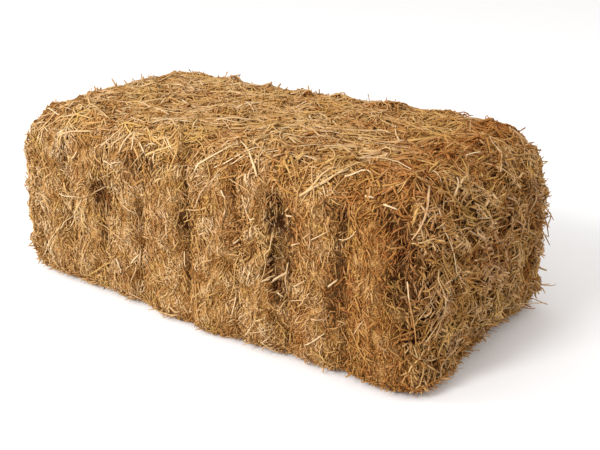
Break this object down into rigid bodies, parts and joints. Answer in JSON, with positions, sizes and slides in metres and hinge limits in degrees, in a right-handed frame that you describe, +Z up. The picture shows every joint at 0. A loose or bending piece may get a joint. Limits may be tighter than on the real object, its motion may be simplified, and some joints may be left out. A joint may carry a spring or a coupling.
{
  "type": "square hay bale",
  "caption": "Small rectangular bale of pressed straw, a row of thick flakes side by side, with rounded edges and a shaggy outside of loose stems.",
  "frame": {"origin": "on the ground under the middle of the bale", "axes": "+X along the bale's length, through its row of flakes; +Y across it, away from the side the picture shows; +Z up"},
  "size_m": [0.9252, 0.4693, 0.339],
  "materials": {
    "straw_pale": "dry straw stems, satin skin over matt dust",
    "straw_golden": "dry straw stems, satin skin over matt dust",
    "straw_brown": "dry straw stems, satin skin over matt dust"
  },
  "bodies": {
    "root": {"flake_01": "straw_pale", "flake_02": "straw_pale", "flake_03": "straw_golden", "flake_04": "straw_pale", "flake_05": "straw_golden", "flake_06": "straw_pale", "flake_07": "straw_golden", "flake_08": "straw_brown", "flake_09": "straw_golden", "flake_10": "straw_brown"}
  },
  "joints": []
}
